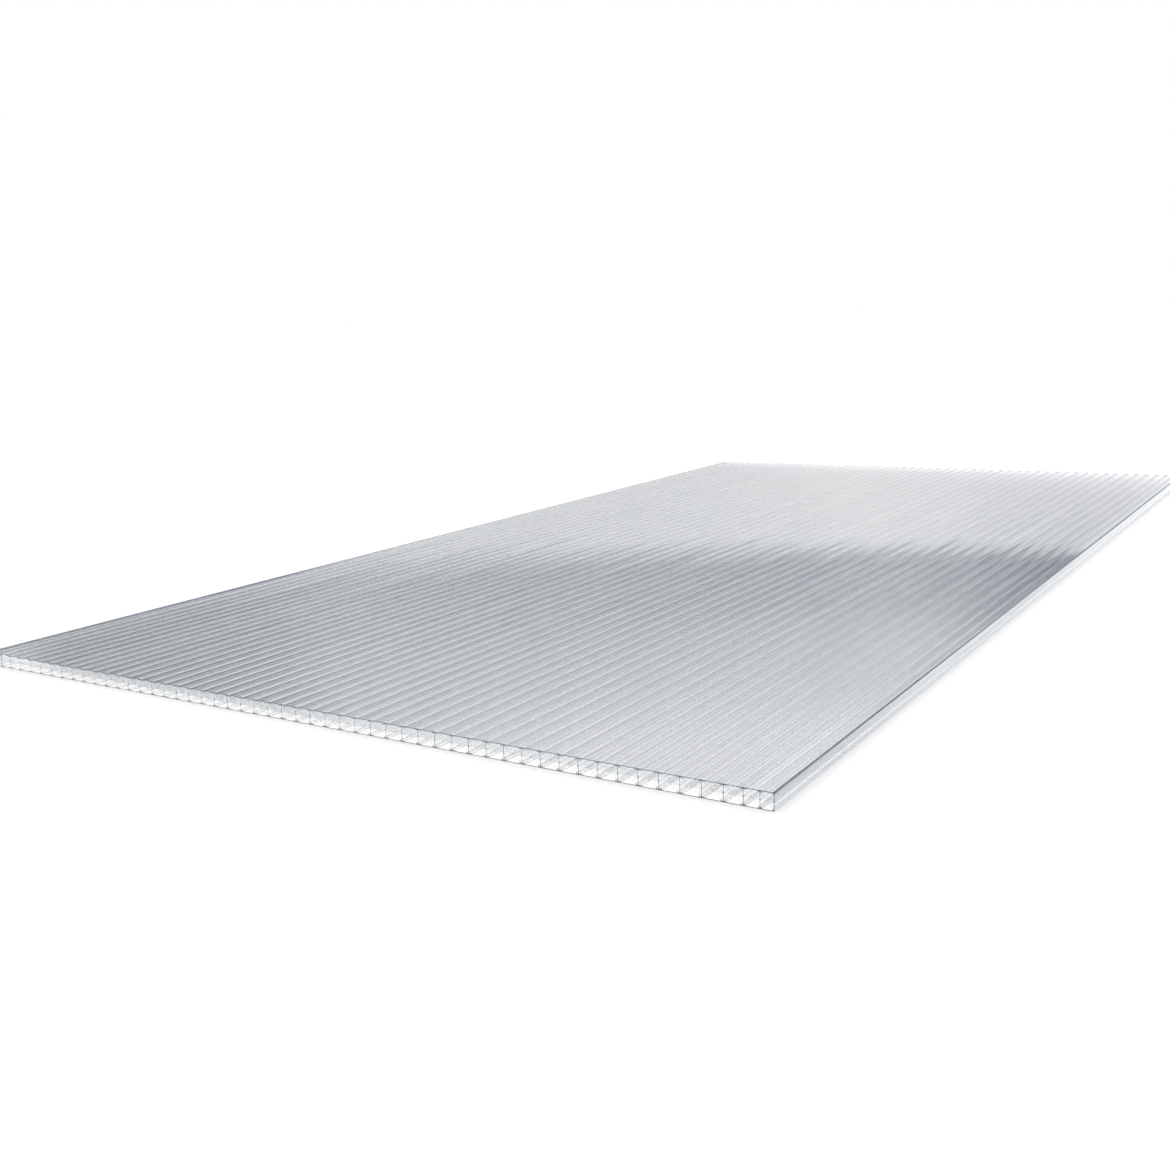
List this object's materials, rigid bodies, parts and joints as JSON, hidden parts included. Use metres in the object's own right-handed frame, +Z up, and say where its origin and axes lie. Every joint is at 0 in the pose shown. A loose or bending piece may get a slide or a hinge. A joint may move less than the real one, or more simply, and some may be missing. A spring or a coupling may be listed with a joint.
{
  "type": "multiwall polycarbonate sheet",
  "caption": "Clear, flat, extruded glazing sheet with ribs, a middle wall and crossed braces between two skins, and flutes open at both ends.",
  "frame": {"origin": "middle of the underside", "axes": "+X across the width, +Y along the flutes, +Z up through the thickness"},
  "size_m": [1.05, 2, 0.016],
  "materials": {
    "clear_polycarbonate": "clear and glossy"
  },
  "bodies": {
    "root": {"sheet": "clear_polycarbonate"}
  },
  "joints": []
}
